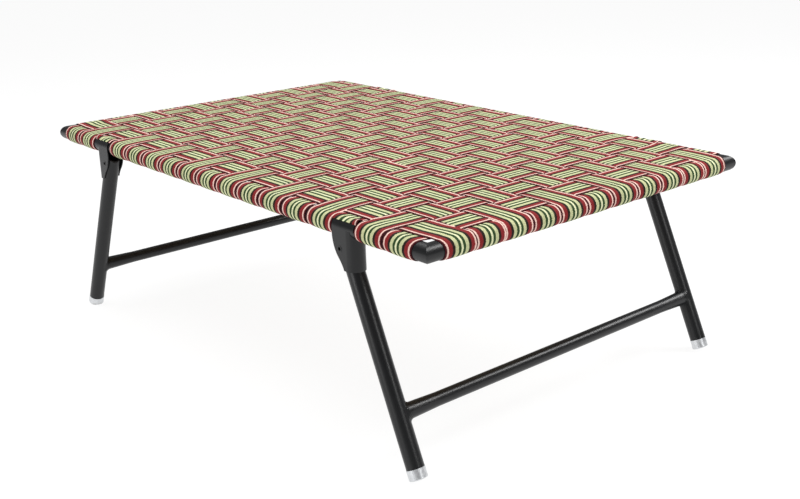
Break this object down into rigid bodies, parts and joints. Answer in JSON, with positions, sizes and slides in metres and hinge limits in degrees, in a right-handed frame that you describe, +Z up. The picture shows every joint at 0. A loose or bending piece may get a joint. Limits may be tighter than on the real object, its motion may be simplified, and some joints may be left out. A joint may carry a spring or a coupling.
{
  "type": "dog bed with frame",
  "caption": "Raised rectangular pet bed: striped flat webbing woven over a tube frame with mitred corners, on two H-shaped leg frames that fold inward under the deck.",
  "frame": {"origin": "middle of the footprint on the floor the feet stand on, leg frames open", "axes": "+X along the bed's length towards the right leg frame, +Y across the bed towards the back rail, +Z up"},
  "size_m": [1.0278, 0.6438, 0.3386],
  "materials": {
    "webbing": "striped woven polypropylene webbing",
    "black_coat": "satin black powder coat",
    "cap": "satin",
    "zinc": "zinc plated"
  },
  "bodies": {
    "deck_frame": {"rail_front": "black_coat", "rail_back": "black_coat", "rail_left": "black_coat", "rail_right": "black_coat", "cross_web_01": "webbing", "cross_web_02": "webbing", "cross_web_03": "webbing", "cross_web_04": "webbing", "cross_web_05": "webbing", "cross_web_06": "webbing", "cross_web_07": "webbing", "cross_web_08": "webbing", "cross_web_09": "webbing", "cross_web_10": "webbing", "cross_web_11": "webbing", "cross_web_12": "webbing", "cross_web_13": "webbing", "cross_web_14": "webbing", "cross_web_15": "webbing", "cross_web_16": "webbing", "cross_web_17": "webbing", "long_web_01": "webbing", "long_web_02": "webbing", "long_web_03": "webbing", "long_web_04": "webbing", "long_web_05": "webbing", "long_web_06": "webbing", "long_web_07": "webbing", "long_web_08": "webbing", "long_web_09": "webbing", "long_web_10": "webbing", "long_web_11": "webbing", "cross_web_screws": "zinc", "long_web_screws": "zinc", "bracket_front_left": "black_coat", "bracket_front_right": "black_coat", "bracket_back_left": "black_coat", "bracket_back_right": "black_coat", "rivet_front_left": "black_coat", "rivet_front_right": "black_coat", "rivet_back_left": "black_coat", "rivet_back_right": "black_coat"},
    "left_leg_frame": {"leg_front_left": "black_coat", "leg_back_left": "black_coat", "crossbar_left": "black_coat", "foot_cap_front_left": "cap", "foot_cap_back_left": "cap"},
    "right_leg_frame": {"leg_front_right": "black_coat", "leg_back_right": "black_coat", "crossbar_right": "black_coat", "foot_cap_front_right": "cap", "foot_cap_back_right": "cap"}
  },
  "joints": [
    {"name": "left_leg_fold", "type": "hinge", "parent": "deck_frame", "child": "left_leg_frame", "pos_m": [-0.3385, 0, 0.29595], "axis": [0, -1, 0], "range_deg": [0, 114]},
    {"name": "right_leg_fold", "type": "hinge", "parent": "deck_frame", "child": "right_leg_frame", "pos_m": [0.3385, 0, 0.29595], "axis": [0, 1, 0], "range_deg": [0, 114]}
  ]
}
